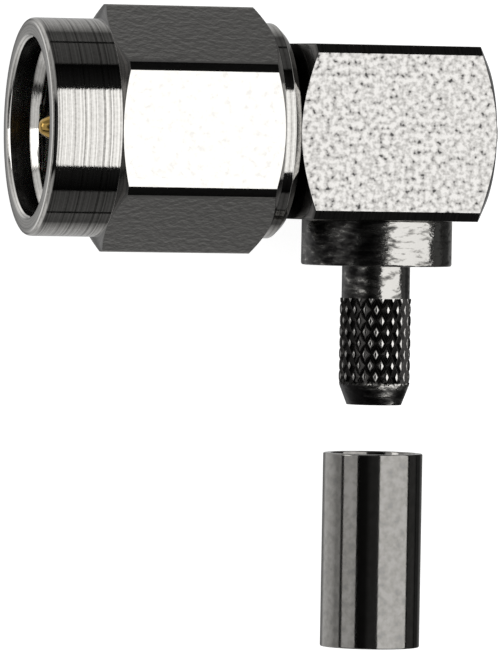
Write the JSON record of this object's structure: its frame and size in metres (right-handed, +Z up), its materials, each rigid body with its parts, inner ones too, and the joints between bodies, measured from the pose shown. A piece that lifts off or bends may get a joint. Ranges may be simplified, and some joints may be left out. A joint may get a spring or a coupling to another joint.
{
  "type": "right-angle coaxial plug",
  "caption": "Right-angle threaded coaxial plug: a hexagon coupling nut turns on a square body with a knurled crimp stem at its side; a plain crimp ferrule lies off the stem.",
  "frame": {"origin": "on the axis of the plug, in the reference plane of the interface, which is the front face of the outer contact", "axes": "-X points out of the mouth of the nut, -Y down the cable stem, +Z up, square to a flat of the nut and to a side of the block"},
  "size_m": [0.0176, 0.0234, 0.008],
  "materials": {
    "plated_brass": "nickel plated, satin from turning",
    "gold_plated_pin": "gold plated, bright",
    "spring_bronze": "bare spring bronze",
    "white_dielectric": "turned fluoropolymer, waxy",
    "red_silicone": "moulded silicone rubber"
  },
  "bodies": {
    "plug_body": {"body_block": "plated_brass", "outer_contact": "plated_brass", "front_insulator": "white_dielectric", "back_insulator": "white_dielectric", "centre_pin": "gold_plated_pin", "retaining_ring": "spring_bronze", "face_gasket": "red_silicone", "cap_insulator": "white_dielectric", "access_cap": "plated_brass", "crimp_stem": "plated_brass"},
    "nut": {"coupling_nut": "plated_brass"},
    "ferrule": {"crimp_ferrule": "plated_brass"}
  },
  "joints": [
    {"name": "nut_spin", "type": "hinge", "parent": "plug_body", "child": "nut", "pos_m": [0, 0, 0], "axis": [1, 0, 0], "continuous": true},
    {"name": "ferrule_slide", "type": "slide", "parent": "plug_body", "child": "ferrule", "axis": [0, 1, 0], "range_m": [0, 0.00684]}
  ]
}
